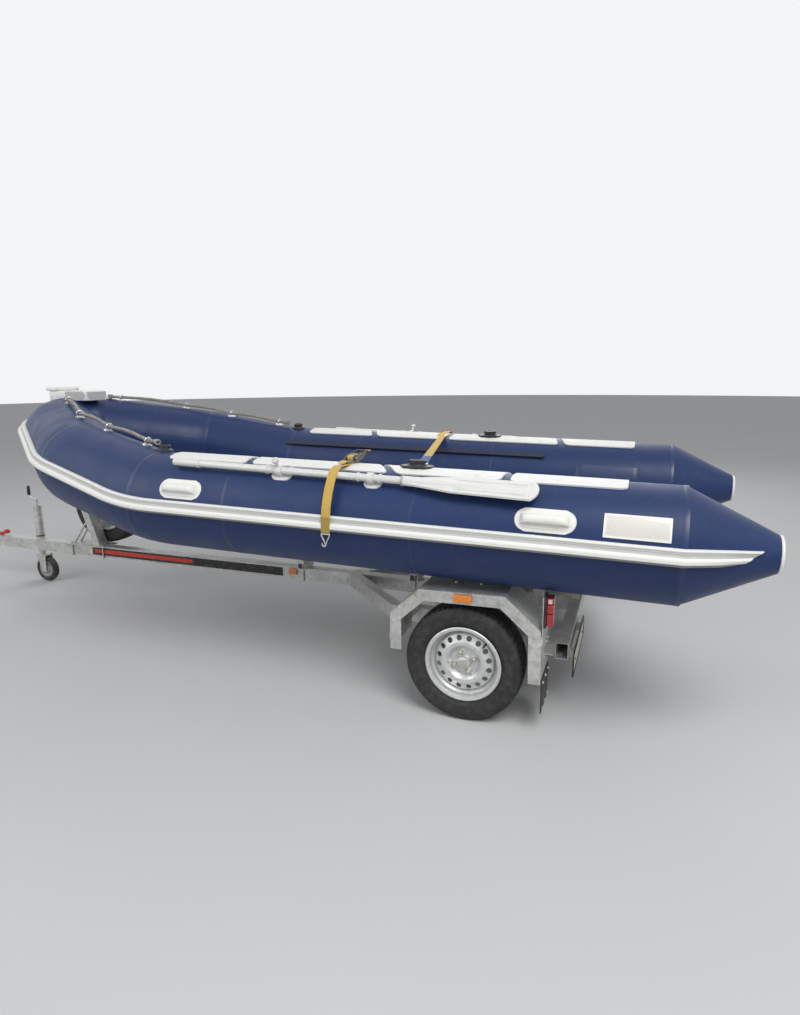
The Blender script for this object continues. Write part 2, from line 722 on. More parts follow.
def galvanised(colour):
    """Hot-dip zinc: pale spangles, dull streaks and dirt in the corners."""
    look = Finish("hot_dip_zinc", 0.42, 0.55)
    cells = look.part(look.cells(55.0, "Color"), 0)
    tint = look.blended(cells, shade(colour, 0.82), shade(colour, 1.1))
    dull = look.ranged(look.noise(6.0, 8.0), 0.42, 0.68, 0.0, 0.55)
    tint = look.blended(dull, tint, shade(colour, 0.62))
    stains = look.ranged(look.noise(22.0, 10.0), 0.6, 0.75, 0.0, 0.5)
    look.show("Base Color", look.blended(stains, tint, (0.20, 0.165, 0.12)))
    look.show("Roughness", look.ranged(cells, 0.0, 1.0, 0.34, 0.58))
    look.raised(look.noise(160.0, 3.0), 0.0003, 0.5)
    return look.material


def strake_rubber(colour):
    """White rubber strake, greyer where it faces down and in scuffs along its rib."""
    look = Finish("white_strake_rubber", 0.45)
    down = look.ranged(look.part(look.coords["Normal"], 2), -0.75, -0.1, 1.0, 0.0)
    scuffs = look.ranged(look.noise(30.0, 8.0, (1.0, 1.0, 3.0)), 0.56, 0.85, 0.0, 0.14)
    tint = look.blended(scuffs, colour, shade(colour, 0.62))
    look.show("Base Color", look.blended(down, tint, shade(colour, 0.45)))
    look.show("Roughness", look.ranged(look.noise(14.0), 0.3, 0.7, 0.38, 0.55))
    look.raised(look.noise(420.0, 2.0), 0.0002, 0.5)
    return look.material


def webbing_weave(name, colour):
    """Woven strap: ribs across, edges a little darker, wear along its length."""
    look = Finish(name, 0.8)
    ribs = look.bands("UV", "Y", 0.55, 0.6)
    rows = look.bands("UV", "X", 0.16)
    tint = look.blended(ribs, shade(colour, 0.8), shade(colour, 1.08))
    tint = look.blended(look.ranged(rows, 0.0, 0.3, 0.35, 0.0), tint, shade(colour, 0.6))
    soil = look.ranged(look.noise(40.0, 8.0), 0.55, 0.78, 0.0, 0.3)
    look.show("Base Color", look.blended(soil, tint, (0.16, 0.13, 0.08)))
    look.raised(ribs, 0.0006)
    look.show("Sheen Weight", 0.2)
    return look.material


def rope_fibre(colour):
    """Cord fibre, light and dark yarns with a soft nap."""
    look = Finish("rope_yarn", 0.85)
    yarns = look.noise(340.0, 6.0)
    tint = look.blended(look.ranged(yarns, 0.35, 0.62, 0.0, 1.0), shade(colour, 0.5), shade(colour, 1.15))
    soil = look.ranged(look.noise(30.0, 5.0), 0.45, 0.7, 0.0, 0.5)
    look.show("Base Color", look.blended(soil, tint, (0.12, 0.11, 0.10)))
    look.raised(yarns, 0.0012)
    look.show("Sheen Weight", 0.3)
    return look.material


def tyre_rubber():
    """Black tyre, browner and duller where the road has dusted it."""
    look = Finish("road_tyre_rubber", 0.75)
    dust = look.ranged(look.noise(35.0, 8.0), 0.45, 0.75, 0.05, 0.6)
    look.show("Base Color", look.blended(dust, (0.018, 0.018, 0.019), (0.075, 0.068, 0.060)))
    look.raised(look.noise(260.0, 4.0), 0.0004)
    return look.material


def sawn_wood(colour):
    """Weathered bunk board with long grain."""
    look = Finish("weathered_bunk_wood", 0.8)
    grain = look.noise(18.0, 8.0, (0.12, 1.0, 1.0))
    tint = look.blended(look.ranged(grain, 0.3, 0.7, 0.0, 1.0), shade(colour, 0.6), shade(colour, 1.2))
    look.show("Base Color", tint)
    look.raised(grain, 0.001)
    return look.material


def lamp_lens(name, colour):
    """Clear coloured lens over a ribbed reflector."""
    look = Finish(name, 0.12)
    ribs = look.bands("Object", "Z", 55.0)
    look.show("Base Color", look.blended(ribs, shade(colour, 0.55), shade(colour, 1.15)))
    look.raised(ribs, 0.0006, 0.4)
    look.show("Coat Weight", 0.6)
    look.show("Coat Roughness", 0.05)
    return look.material


def deck_gelcoat(colour):
    """Sole and mouldings: gelcoat with a fine non-slip grain and footmarks."""
    look = Finish("deck_gelcoat", 0.4)
    marks = look.ranged(look.noise(5.0, 9.0), 0.5, 0.75, 0.0, 0.35)
    look.show("Base Color", look.blended(marks, colour, shade(colour, 0.6)))
    look.raised(look.cells(120.0), 0.0006, 0.5)
    look.show("Coat Weight", 0.15)
    return look.material


finishes = {}


def make_finishes(paint):
    """Every finish of the boat and the trailer, from the chosen colours."""
    finishes.update(
        navy=coated_fabric(paint.navy),
        seam=mottled("navy_seam_tape", shade(paint.navy, 0.95), 0.38, grain_depth=0.00015),
        strake=strake_rubber(paint.rubber_white),
        strake_band=mottled("strake_grey_band", paint.strake_grey, 0.45, 0.06, 20.0, grime=0.1),
        strake_under=mottled("strake_underside", shade(paint.strake_grey, 0.42), 0.6, 0.1, 20.0, grime=0.2),
        white_rubber=mottled("white_moulded_rubber", paint.rubber_white, 0.42, 0.04, grime=0.1),
        pad=mottled("pale_wear_pad", paint.pad_white, 0.5, 0.05, grain=900.0, grain_depth=0.0004, grime=0.15),
        black_rubber=mottled("black_rubber", paint.black, 0.6, 0.25, grime=0.3),
        black_plastic=mottled("black_moulded_plastic", paint.black, 0.38, 0.2, grime=0.15),
        plate=mottled("blank_plate_face", (0.70, 0.67, 0.62), 0.3, 0.04, coat=0.3),
        rope=rope_fibre(paint.rope),
        hull=mottled("hull_gelcoat", paint.gelcoat, 0.25, 0.05, 4.0, coat=0.3, grime=0.3),
        deck=deck_gelcoat(paint.gelcoat),
        moulding=mottled("locker_gelcoat", (0.83, 0.83, 0.80), 0.3, 0.04, coat=0.25, grime=0.15),
        moulding_grey=mottled("locker_grey_panel", (0.50, 0.50, 0.485), 0.4, 0.06),
        alloy=mottled(
            "oar_shaft_enamel", (0.72, 0.72, 0.69), 0.3, 0.05, grain=250.0, metallic=0.1, grime=0.1),
        oar_plastic=mottled("oar_blade_plastic", (0.74, 0.74, 0.71), 0.4, 0.06, grime=0.12),
        webbing_patch=webbing_weave("stitched_webbing", shade(paint.webbing, 0.62)),
        winch_webbing=webbing_weave("winch_webbing", (0.07, 0.08, 0.10)),
        grey_plastic=mottled("grey_moulded_plastic", (0.36, 0.36, 0.35), 0.45, 0.1, grime=0.2),
        webbing=webbing_weave("yellow_webbing", paint.webbing),
        blue_webbing=webbing_weave("blue_webbing", paint.webbing_blue),
        zinc=galvanised(paint.zinc),
        bright_zinc=mottled(
            "bright_zinc_plate", (0.60, 0.59, 0.55), 0.35, 0.15, 30.0, metallic=0.9, grime=0.35),
        tyre=tyre_rubber(),
        rim=mottled("silver_rim_paint", paint.rim, 0.36, 0.08, 14.0, metallic=0.45, coat=0.2, grime=0.3),
        red_lens=lamp_lens("red_lamp_lens", paint.lamp_red),
        orange_lens=lamp_lens("orange_marker_lens", paint.lamp_orange),
        board=mottled("number_board_face", (0.70, 0.66, 0.52), 0.35, 0.06, grime=0.2),
        reflector=mottled("clear_reflector", (0.70, 0.55, 0.54), 0.15, 0.04, coat=0.5),
        dark_steel=mottled(
            "dark_plated_steel", (0.27, 0.27, 0.25), 0.34, 0.2, 40.0, metallic=0.85, grime=0.3),
        seat_rubber=mottled("seat_rail_rubber", (0.010, 0.014, 0.034), 0.5, 0.2),
        stainless=mottled("stainless_eye", (0.66, 0.66, 0.65), 0.22, 0.1, 40.0, metallic=1.0),
        wood=sawn_wood((0.30, 0.23, 0.15)),
        band_black=mottled("beam_band_black", (0.014, 0.014, 0.016), 0.3, 0.2, grime=0.35),
        band_red=mottled("beam_band_red", paint.band_red, 0.35, 0.08, grime=0.2),
        red_plastic=mottled("red_knob_plastic", (0.50, 0.02, 0.02), 0.4, 0.1),
    )


NODE_FINISHES = {
    # finish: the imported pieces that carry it
    "navy": "tube_starboard tube_port tube_bow",
    "white_rubber": "cone_caps carry_handles",
    "strake": "rub_strake",
    "pad": "top_pads",
    "seat_rubber": "seat_rails",
    "black_plastic": "valves",
    "plate": "blank_plate",
    "stainless": "rope_rings tow_eyes",
    "rope": "grab_rope_starboard grab_rope_port",
    "hull": "hull",
    "deck": "deck",
    "moulding": "transom bow_locker locker_lid",
    "alloy": "oar_shafts",
    "oar_plastic": "oar_blades oar_fittings",
    "webbing": "tie_down_strap cross_strap",
    "bright_zinc": "strap_ratchet clamp_bolts winch jack_leg",
    "zinc": "main_beam frame_rails torsion_axle fenders winch_post cradle_brackets jack_tube jack_fork"
            " coupling",
    "tyre": "tyre_left tyre_right spare_tyre",
    "rim": "rim_left rim_right spare_rim",
    "black_rubber": "mud_flaps bow_stop keel_rollers jockey_wheel",
    "red_lens": "rear_lamps",
    "orange_lens": "side_markers",
    "board": "number_board",
    "wood": "bunks",
}


def colour(label, text, value):
    return FloatVectorProperty(
        name=label, description=text, subtype="COLOR", size=3, min=0, max=1, default=value)


def number(label, text, value, lowest, kind=FloatProperty, **more):
    return kind(name=label, description=text, default=value, min=lowest, **more)


class BoatColours(bpy.types.PropertyGroup):
    """Colours of the boat and of the trailer."""

    navy: colour("Tube fabric", "Coated fabric of the air tubes", (0.011, 0.030, 0.108))
    rubber_white: colour("White rubber", "Strake's rib, handles and cone caps", (0.84, 0.84, 0.79))
    strake_grey: colour("Strake band", "Upper band of the strake", (0.57, 0.57, 0.555))
    pad_white: colour("Wear pads", "Pads on the tubes' tops", (0.80, 0.80, 0.765))
    black: colour("Black fittings", "Valves, rollers, flaps and lamp housings", (0.020, 0.020, 0.022))
    rope: colour("Rope", "Grab ropes", (0.40, 0.385, 0.35))
    gelcoat: colour("Gelcoat", "Hull and sole", (0.62, 0.63, 0.62))
    webbing: colour("Webbing", "Ratchet strap and cross strap", (0.90, 0.58, 0.10))
    webbing_blue: colour("Webbing end", "Sleeve at the cross strap's end", (0.03, 0.12, 0.45))
    zinc: colour("Zinc", "Trailer frame", (0.60, 0.605, 0.58))
    rim: colour("Rims", "Wheel rims", (0.64, 0.645, 0.64))
    lamp_red: colour("Rear lamps", "Lens of the rear lamps", (0.42, 0.012, 0.015))
    lamp_orange: colour("Side markers", "Lens of the side markers", (0.90, 0.27, 0.02))
    band_red: colour("Beam band", "Red part of the band on the beam", (0.62, 0.045, 0.02))


class FittingSizes(bpy.types.PropertyGroup):
    """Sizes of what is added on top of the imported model, in millimetres."""

    tape_width: number("Seam tape", "Width of the tapes over the seams", 26.0, 5)
    tape_proud: number("Tape height", "How far a tape stands off the tube", 0.6, 0.1)
    rope_strand: number("Rope strand", "Radius of one strand", 5.4, 1)
    rope_pitch: number("Rope lay", "Length of one turn of the strands", 52.0, 10)
    tread_groove: number("Tread groove", "Depth of the tyre's grooves", 6.0, 1)
    tread_slots: number("Tread slots", "Slots round each tread shoulder", 60, 12, IntProperty)


class StageSettings(bpy.types.PropertyGroup):
    """Floor, light and camera."""

    floor_grey: number("Floor", "Grey of the floor", 0.62, 0, max=1)
    key_power: number("Key light", "Power of the main soft light", 400.0, 0, unit="POWER")
    fill_power: number("Fill light", "Power of the fill light", 130.0, 0, unit="POWER")
    sky: number("Sky", "Strength of the light from all round", 0.36, 0)
    lens: number("Lens", "Focal length in millimetres", 22.997, 1)


class BoatOperator(bpy.types.Operator):
    """What every step shares."""

    bl_options = {"REGISTER", "UNDO"}


class BOAT_OT_stage(BoatOperator):
    """Pale floor and backdrop, soft lights and the camera"""

    bl_idname = "boat.stage"
    bl_label = "Stage, lights and camera"

    def execute(self, context):
        scene = context.scene
        stage = scene.boat_stage
        scene.view_settings.view_transform = "Standard"
        scene.world = self.sky(stage.sky)
        self.floor(scene, stage.floor_grey)
        for name, power, size, place, target in LAMPS:
            data = bpy.data.lights.new(name, "AREA")
            data.energy = getattr(stage, power)
            data.size = size
            lamp = bpy.data.objects.new(name, data)
            lamp.location = place
            lamp.rotation_mode = "QUATERNION"
            lamp.rotation_quaternion = (Vector(target) - Vector(place)).to_track_quat("-Z", "Y")
            scene.collection.objects.link(lamp)
        data = bpy.data.cameras.new("camera")
        data.lens = stage.lens
        data.sensor_width = SENSOR_W
        camera = bpy.data.objects.new("camera", data)
        scene.collection.objects.link(camera)
        camera.matrix_world = Matrix.Translation(CAMERA_PLACE) @ self.camera_axes().to_4x4()
        scene.camera = camera
        return {"FINISHED"}

    def sky(self, strength):
        """World that lights the boat at one strength and shows as a pale backdrop."""
        world = bpy.data.worlds.new("studio_sky")
        world.use_nodes = True
        tree = world.node_tree
        light = tree.nodes["Background"]
        feed(tree, light.inputs["Color"], SKY_TINT)
        feed(tree, light.inputs["Strength"], strength)
        shown = add_node(tree, "Background", "Background", {"Color": BACKDROP_TINT})
        path = tree.nodes.new("ShaderNodeLightPath").outputs
        seen = path["Is Camera Ray"]
        for kind in ("Is Glossy Ray", "Is Transmission Ray"):
            seen = add_node(tree, "Math", 0, {0: seen, 1: path[kind]}, operation="MAXIMUM")
        choice = add_node(tree, "MixShader", 0, {"Fac": seen, 1: light.outputs["Background"], 2: shown})
        feed(tree, tree.nodes["World Output"].inputs["Surface"], choice)
        return world

    def floor(self, scene, grey):
        bm = bmesh.new()
        bmesh.ops.create_circle(bm, cap_ends=True, segments=64, radius=FLOOR_R)
        mesh = bpy.data.meshes.new("floor")
        bm.to_mesh(mesh)
        bm.free()
        look = Finish("pale_floor", 0.9)
        look.show("Base Color", look.blended(look.noise(0.8, 2.0), (grey * 0.98,) * 3, (grey * 1.02,) * 3))
        mesh.materials.append(look.material)
        floor = bpy.data.objects.new("floor", mesh)
        scene.collection.objects.link(floor)
        floor.location.z = -MM

    def camera_axes(self):
        yaw, pitch, roll = (math.radians(degrees) for degrees in CAMERA_TURN_DEG)
        ahead = Vector((-math.sin(yaw) * math.cos(pitch), math.cos(yaw) * math.cos(pitch), -math.sin(pitch)))
        right = Vector((math.cos(yaw), math.sin(yaw), 0))
        up = right.cross(ahead)
        tilted_right = right * math.cos(roll) - up * math.sin(roll)
        tilted_up = up * math.cos(roll) + right * math.sin(roll)
        return Matrix((tilted_right, tilted_up, -ahead)).transposed()


class BOAT_OT_finishes(BoatOperator):
    """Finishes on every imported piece"""

    bl_idname = "boat.finishes"
    bl_label = "Finishes"

    def execute(self, context):
        make_finishes(context.scene.boat_colours)
        for finish, names in NODE_FINISHES.items():
            for name in names.split():
                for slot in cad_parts[name].material_slots:
                    slot.material = finishes[finish]
        return {"FINISHED"}


class BOAT_OT_seam_tapes(BoatOperator):
    """Tapes over the tube seams, and the patches beside the transom"""

    bl_idname = "boat.seam_tapes"
    bl_label = "Seam tapes"

    def execute(self, context):
        sizes = context.scene.boat_fittings
        width, proud = sizes.tape_width, sizes.tape_proud
        bm = bmesh.new()
        for x, share in SEAM_TABLE:
            centre, way = tube_frame(x)[:2]
            self.ring(bm, centre, way, width * share, proud)
        bends = [(bend_corner, side_way, cheek_way, BOW_BEND_R),
                 (nose_corner, cheek_way, nose_way, NOSE_BEND_R)]
        for corner, way_in, way_out, radius in bends:
            inward = (way_out - way_in).normalized()
            middle = corner + inward * (radius / math.cos(way_in.angle(way_out) / 2) - radius)
            self.ring(bm, middle, (way_in + way_out).normalized(), width, proud)
        bent_sheet(bm, span(*TRANSOM_PATCH), TUBE_R, TUBE_R + TRANSOM_PATCH_T, edge=0.01)
        piece("seam_tapes", bm, "seam", sharp=60, both=True)
        return {"FINISHED"}

    def ring(self, bm, centre, way, width, proud):
        half = width / 2
        outline = mirrored([(half, TUBE_R - 2), (half, TUBE_R + proud * 0.4), (half - 2, TUBE_R + proud)])
        spun(bm, outline, centre, way, 128)


class BOAT_OT_grab_ropes(BoatOperator):
    """Twisted grab ropes through the bow eyes, with a knot at each eye and each end"""

    bl_idname = "boat.grab_ropes"
    bl_label = "Grab ropes"

    def execute(self, context):
        sizes = context.scene.boat_fittings
        radius = sizes.rope_strand
        spots = [on_tube(x, degrees, TUBE_R + RING_RISE) for x, degrees in RING_TABLE]
        route = [spots[0] + Vector((70, 10, -4))]
        for spot, after in zip(spots, spots[1:]):
            route += [spot, (spot + after) * 0.5 + Vector((0, -6, 16))]
        route += [spots[-1], spots[-1] + Vector((-60, -38, 6))]
        line = even_steps(smooth_route(route, 16), 4.0)
        strands = self.strands(line, radius, sizes.rope_pitch)
        for end, inner in ((line[0], line[3]), (line[-1], line[-4])):
            strands.append(self.knot(end, end - inner, radius))
        for spot in spots:
            nearest = min(range(1, len(line) - 1), key=lambda i: (line[i] - spot).length_squared)
            before, after = line[nearest - 1], line[nearest + 1]
            strands.append(self.knot(before, after - before, radius * 0.75))
        for side, matrix in (("starboard", Matrix()), ("port", MIRROR)):
            bm = bmesh.new()
            pipes(bm, strands, radius, 2)
            bmesh.ops.remove_doubles(bm, verts=bm.verts[:], dist=0.01)
            piece("rope_" + side, bm, "rope", moved=matrix,
                  replaces=["grab_rope_" + side], sharp=80)
        return {"FINISHED"}

    def strands(self, line, radius, pitch):
        """Three strands laid round a line."""
        made = [[], [], []]
        way = (line[1] - line[0]).normalized()
        side = way.orthogonal().normalized()
        reach = 0.0
        for i, spot in enumerate(line):
            new_way = (line[min(i + 1, len(line) - 1)] - line[max(i - 1, 0)]).normalized()
            side = way.rotation_difference(new_way) @ side
            way = new_way
            if i:
                reach += (spot - line[i - 1]).length
            for j, strand in enumerate(made):
                turn = Quaternion(way, math.tau * (reach / pitch + j / 3))
                strand.append(spot + turn @ side * (radius * 1.12))
        return made

    def knot(self, spot, way, radius):
        """Overhand knot: loose turns round the rope."""
        way = way.normalized()
        side = way.orthogonal().normalized()
        turns = []
        for i in range(40):
            share = i / 39
            swing = Quaternion(way, math.tau * 2.6 * share) @ side
            turns.append(spot + swing * (radius * 2.3) - way * (radius * 5.5 * (share - 0.5)))
        return turns


class BOAT_OT_straps(BoatOperator):
    """Ratchet strap over each tube, and the strap across the cockpit with its blue end"""

    bl_idname = "boat.straps"
    bl_label = "Straps"

    def execute(self, context):
        line = even_steps(smooth_route([strap_spot(*row) for row in STRAP_TABLE], 12), 12.0)
        bm = bmesh.new()
        ribbon(bm, line, X_WAY, STRAP_W, WEB_T)
        piece("tie_down_webbing", bm, "webbing", replaces=["tie_down_strap"],
              sharp=50, both=True)
        low, high = STITCHED_DEG
        doubled = [p + Vector((0, 1.3, 0)) for p in line if low < self.degrees(p) < high]
        bm = bmesh.new()
        ribbon(bm, doubled, X_WAY, STRAP_W - 1, WEB_T)
        piece("tie_down_stitched_ends", bm, "webbing_patch", sharp=50, both=True)

        near = MIRROR @ on_tube(*CROSS_NEAR)
        far = on_tube(*CROSS_FAR)
        way = (far - near).normalized()
        side = Vector((way.y, -way.x, 0))
        bm = bmesh.new()
        ribbon(bm, even_steps([near + way * 300, far], 40.0) + [far], side, STRAP_W, WEB_T)
        piece("cross_webbing", bm, "webbing", replaces=["cross_strap"], sharp=50)
        bm = bmesh.new()
        ribbon(bm, even_steps([near + way * 4, near + way * SLEEVE_END], 12.0), side, STRAP_W + 3, 5.0)
        piece("cross_webbing_sleeve", bm, "blue_webbing", sharp=50)
        ring = []
        for i in range(25):
            angle = math.tau * i / 24
            ring.append(near + side * (30 * math.cos(angle)) - way * (4 + 16 * math.sin(angle)) + Z_WAY)
        bm = bmesh.new()
        pipes(bm, [ring], WIRE_R)
        piece("cross_strap_ring", bm, "stainless", sharp=80)
        return {"FINISHED"}

    def degrees(self, spot):
        tube = tube_frame(STRAP_X)[0]
        return math.degrees(math.atan2(spot.y - tube.y, spot.z - tube.z))


class BOAT_OT_strake(BoatOperator):
    """Stepped rub strake, grooved along its band and its rib, round the whole boat"""

    bl_idname = "boat.strake"
    bl_label = "Rub strake"

    def execute(self, context):
        rings = []
        for centre, way, radial, tube_r, share in self.stations():
            side = upward(radial.cross(way).normalized())
            rings.append([
                centre + radial * (tube_r + off) + side * (up * share) for off, up, _ in STRAKE_OUTLINE])
        top = max(spot.z for spot in rings[0])
        for spot in rings[0]:
            spot.x -= (top - spot.z) * STRAKE_END_SLANT
        bm = bmesh.new()
        first = carried(bm, rings, [kind for _, _, kind in STRAKE_OUTLINE])[0]
        bm.faces.new(first)
        mirror_too(bm)
        bmesh.ops.remove_doubles(bm, verts=bm.verts[:], dist=0.2)
        piece("grooved_strake", bm, "strake_band strake strake_under",
              replaces=["rub_strake"], sharp=28)
        return {"FINISHED"}

    def stations(self):
        """Centre, way, radial, tube radius and share of the height, from the stern to the nose's middle."""
        side = self.radial(0.0, STRAKE_SIDE_DEG)
        bend = self.radial(nose_corner.x + 1, STRAKE_BEND_DEG)
        tip = self.radial(nose_corner.x - 1, STRAKE_NOSE_DEG)
        run = STRAKE_STERN_X - CONE_START_X
        narrowing = (CONE_END_R - TUBE_R) * run / (CONE_END_X - CONE_START_X)
        made = []
        for far in (1.0, 0.46, 0.22, 0.0):
            made.append((axis_point(CONE_START_X + run * far), side_way, side, TUBE_R + narrowing * far,
                         1 + (STRAKE_STERN_SHARE - 1) * far))
        made += self.round_bend(bow_bend, side_way, side, 10)
        made += self.twisting(bow_bend[1], nose_bend[0], cheek_way, made[-1][2], bend)
        made += self.round_bend(nose_bend, cheek_way, bend, 10)
        made += self.twisting(nose_bend[1], tip_bend[0], nose_way, made[-1][2], tip)
        made += self.round_bend(tip_bend, nose_way, tip, 14, 0.5)
        return made

    def radial(self, x, degrees):
        out, up = tube_frame(x)[2:]
        return leaning(up, out, degrees)

    def round_bend(self, bend, way, radial, steps, part=1.0):
        start, _, centre, axis, angle = bend
        made = []
        for i in range(steps + 1):
            turn = Quaternion(axis, angle * part * i / steps)
            made.append((centre + turn @ (start - centre), turn @ way, turn @ radial, TUBE_R, 1.0))
        return made

    def twisting(self, start, end, way, radial_a, radial_b):
        axis = radial_a.cross(radial_b).normalized()
        angle = radial_a.angle(radial_b)
        return [(start.lerp(end, i / 6), way, Quaternion(axis, angle * i / 6) @ radial_a, TUBE_R, 1.0)
                for i in range(1, 6)]


class BOAT_OT_top_pads(BoatOperator):
    """Pale wear pads on the tubes' tops, with rounded corners and slanted gaps"""

    bl_idname = "boat.top_pads"
    bl_label = "Top pads"

    def execute(self, context):
        bm = bmesh.new()
        half = PAD_GAP / 2
        for gaps in (PAD_GAPS["starboard"], PAD_GAPS["port"]):
            ends = [(PAD_ENDS[0],) * 2]
            for outer, inner in gaps:
                ends += [(outer - half, inner - half), (outer + half, inner + half)]
            ends.append((PAD_ENDS[1],) * 2)
            for front, rear in zip(ends[::2], ends[1::2]):
                bent_sheet(bm, self.pad(front, rear), TUBE_R - 1, TUBE_R + PAD_T, 14, 26, 0.006)
            put(bm, bm.verts[:], MIRROR)
        piece("top_wear_pads", bm, "pad", replaces=["top_pads"], sharp=40)
        return {"FINISHED"}

    def pad(self, front, rear):
        def place(u, v):
            across = v * PAD_W / 2
            past = max(abs(across) - (PAD_W / 2 - PAD_CORNER), 0.0)
            drawn_in = PAD_CORNER - math.sqrt(max(PAD_CORNER ** 2 - past ** 2, 0.0))
            low, high = [end[0] * (1 + v) / 2 + end[1] * (1 - v) / 2 for end in (front, rear)]
            x = between(low + drawn_in, high - drawn_in, u)
            return x, -PAD_LEAN_DEG + math.degrees(across / TUBE_R)
        return place


class BOAT_OT_transom(BoatOperator):
    """Stern board with a raised middle for a motor and rounded edges"""

    bl_idname = "boat.transom"
    bl_label = "Transom"

    def execute(self, context):
        front, rear = TRANSOM_X
        low, high = MOTOR_PAD_Z
        bm = bmesh.new()
        place = Matrix.Translation(((front + rear) / 2, 0, 0)) @ ATHWART
        plate(bm, mirrored(TRANSOM_LINE), rear - front, 5.0, place)
        piece("stern_board", bm, "moulding", replaces=["transom"], sharp=40)
        bm = bmesh.new()
        for x_low, x_high in ((front - 3, front + 2), (rear - 2, rear + 3)):
            block(bm, (x_low, -MOTOR_PAD_HALF, low), (x_high, MOTOR_PAD_HALF, high), 2.0)
        piece("motor_pads", bm, "grey_plastic", sharp=40)
        return {"FINISHED"}


class BOAT_OT_handles(BoatOperator):
    """Four carry handles: oval patch, raised plate and a grip with finger waves"""

    bl_idname = "boat.handles"
    bl_label = "Carry handles"

    def execute(self, context):
        bm = bmesh.new()
        for x in HANDLE_X:
            for length, width, height, edge in HANDLE_OVALS:
                bent_sheet(bm, oval(x, HANDLE_DEG, length, width), TUBE_R, TUBE_R + height, 14, 10, edge)
            self.grip(bm, tube_place(x, HANDLE_DEG, TUBE_R + 5.0))
        piece("carry_handle_grips", bm, "white_rubber",
              replaces=["carry_handles"], sharp=40, both=True)
        return {"FINISHED"}

    def grip(self, bm, matrix):
        rings = []
        for i in range(49):
            x = GRIP_HALF * (i / 24 - 1)
            near_end = min(1.0, abs(x) / GRIP_HALF)
            rise = 23.0 * (1 - near_end ** 8)
            wave = 2.6 * math.cos(x / 82.0 * math.tau * 2) * (1 if abs(x) < 62 else 0)
            flare = 1 + 0.12 * near_end ** 8
            ring = []
            for j in range(20):
                angle = math.tau * j / 20
                low = 9.5 + wave if math.sin(angle) < 0 else 14.0 - 6 * near_end ** 6
                across = 19.0 * flare * math.cos(angle)
                ring.append(matrix @ Vector((x, across, rise + low * math.sin(angle))))
            rings.append(ring)
        for end in carried(bm, rings):
            bm.faces.new(end)


class BOAT_OT_valves(BoatOperator):
    """Inflation valves with knurled caps, the aft ones on a broad faceted flange"""

    bl_idname = "boat.valves"
    bl_label = "Valves"

    def execute(self, context):
        bm = bmesh.new()
        for x, degrees, cap_r, flanged in VALVE_TABLE:
            cap = [(-16, 0), *((z, cap_r + past) for z, past in VALVE_RIM), *VALVE_STEM]
            made = spun(bm, cap, ORIGIN, Z_WAY, 48, False)
            for i in range(18):
                turn = Matrix.Rotation(math.tau * i / 18, 4, "Z")
                made += block(bm, (cap_r - 3, -1.6, 20), (cap_r + 1.4, 1.6, 30.5), 0.8, 1, turn)
            if flanged:
                laid = Matrix.Translation((0, 0, -11)) @ Matrix.Rotation(math.pi / 2, 4, "X")
                made += plate(bm, VALVE_FLANGE, 36.0, 2.5, laid)
            put(bm, made, tube_place(x, degrees, PAD_TOP_R))
        piece("valve_caps", bm, "black_plastic", replaces=["valves"],
              sharp=30, both=True)
        return {"FINISHED"}


class BOAT_OT_oar_details(BoatOperator):
    """Collars, ridged grips, rivets and fanned ribs of the oars"""

    bl_idname = "boat.oar_details"
    bl_label = "Oar details"

    def execute(self, context):
        bm = bmesh.new()
        grip = [(4, 0), (4, 14), (2, 18), (0, 20.4)]
        for i in range(14):
            grip += [(-i * 10.0 - past, radius) for past, radius in GRIP_RIDGE]
        grip += [(-142, 22.4), (-153, 22.4), (-155, 17.2)]
        shaft = [(-150, 0), (-150, SHAFT_R), (-1290, SHAFT_R), (-1290, 0)]
        made = spun(bm, grip, ORIGIN, X_WAY, 32, False) + spun(bm, shaft, ORIGIN, X_WAY, 32, False)
        put(bm, made, oar_place(GRIP_FRONT_X, OAR_FRONT[1]))
        for x in OAR_COLLAR_X:
            collar = spun(bm, mirrored([(6, 17), (6, 19.5), (4.5, 21)]), ORIGIN, X_WAY, 32)
            put(bm, collar, oar_place(x, 37.0))
        piece("oar_looms", bm, "alloy", replaces=["oar_shafts"], sharp=40, both=True)
        bm = bmesh.new()
        for y, far_y in ((-12.0, -52.0), (12.0, 52.0), (-6.0, -20.0), (6.0, 20.0)):
            for z in (-4.2, 4.2):
                bar(bm, (-130, y, z), (-560, far_y, z), 3.2, 1.8, 10)
        for y in (-44.0, 0.0, 44.0):
            bar(bm, (-562, y, 4.2), (-562, y, 7.0), 5.0, 3.5, 16)
        for side in (-1, 1):
            for x in (-90.0, -50.0, -10.0):
                bar(bm, (x, 0, side * 20), (x, 0, side * 23.5), 4.5, 3.0, 16)
            spun(bm, mirrored([(3.5, 22), (3.5, 25)]), (4, 0, 0), X_WAY, 32)
        put(bm, bm.verts[:], oar_place(BLADE_FRONT_X, BLADE_LEAN_DEG))
        piece("oar_blade_ribs", bm, "oar_plastic", sharp=40, both=True)
        return {"FINISHED"}


